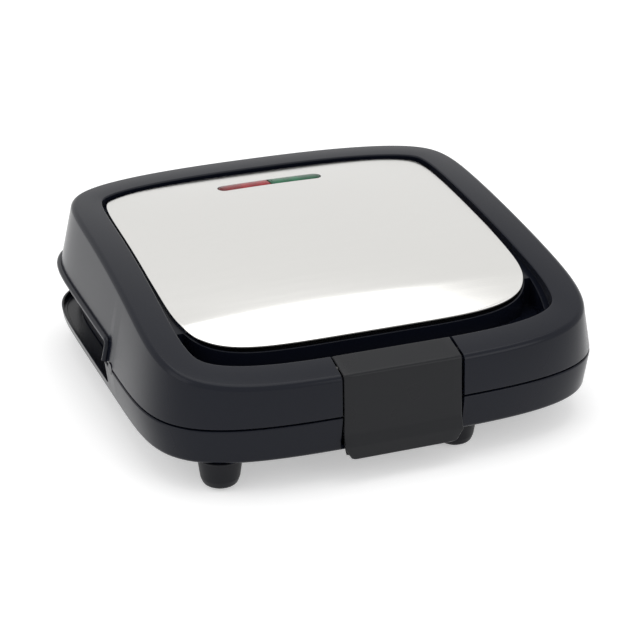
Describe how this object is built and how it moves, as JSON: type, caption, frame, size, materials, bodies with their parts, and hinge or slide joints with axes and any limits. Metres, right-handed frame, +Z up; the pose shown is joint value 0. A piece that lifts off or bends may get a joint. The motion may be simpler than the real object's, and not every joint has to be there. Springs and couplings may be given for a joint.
{
  "type": "waffle maker",
  "caption": "Closed two-waffle maker: black housings, hinged lid with a steel cover, front latch clip, waffle plates inside.",
  "frame": {"origin": "on the table, under the middle of the closed appliance's outer box", "axes": "+Z up, -Y toward the user at the latch, +X to the user's right"},
  "size_m": [0.2546, 0.2556, 0.0851],
  "materials": {
    "housing_plastic": "satin",
    "inner_plastic": "matte",
    "latch_plastic": "satin",
    "rubber": "matte",
    "brushed_steel": "brushed",
    "red_window": "gloss",
    "green_window": "gloss",
    "red_lamp": "gloss",
    "green_lamp": "gloss",
    "non_stick_coating": "satin",
    "heater_tube": "matte",
    "bright_sheet": "satin",
    "ceramic": "matte",
    "bakelite": "matte",
    "lead_sleeve": "matte",
    "zinc_steel": "satin"
  },
  "bodies": {
    "base": {"base_housing": "housing_plastic", "base_deck": "non_stick_coating", "lower_plate": "non_stick_coating", "lower_element": "heater_tube", "lower_reflector": "bright_sheet", "lower_plate_screws": "zinc_steel", "lower_element_clamps": "bright_sheet", "thermal_fuse": "ceramic", "terminal_block": "ceramic", "cord_inlet": "inner_plastic", "base_wiring": "lead_sleeve", "feet": "housing_plastic", "foot_pads": "rubber", "base_screws": "zinc_steel", "base_hinge_lugs": "zinc_steel", "hinge_pins": "zinc_steel"},
    "lid": {"lid_housing": "housing_plastic", "lid_deck": "non_stick_coating", "steel_cover": "brushed_steel", "red_lens": "red_window", "green_lens": "green_window", "lamp_holder": "ceramic", "red_lamp": "red_lamp", "green_lamp": "green_lamp", "upper_plate": "non_stick_coating", "upper_element": "heater_tube", "upper_reflector": "bright_sheet", "upper_plate_screws": "zinc_steel", "upper_element_clamps": "bright_sheet", "thermostat": "bakelite", "lid_hinge_lugs": "zinc_steel", "lid_screws": "zinc_steel", "lid_wiring": "lead_sleeve", "latch_bracket": "inner_plastic", "latch_bracket_screws": "zinc_steel", "latch_pin": "zinc_steel"},
    "latch": {"latch": "latch_plastic"}
  },
  "joints": [
    {"name": "lid_hinge", "type": "hinge", "parent": "base", "child": "lid", "pos_m": [0, 0.1233, 0.0372], "axis": [-1, 0, 0], "range_deg": [0, 100]},
    {"name": "latch_pivot", "type": "hinge", "parent": "lid", "child": "latch", "pos_m": [0, -0.1123, 0.05722], "axis": [-1, 0, 0], "range_deg": [0, 55]}
  ]
}
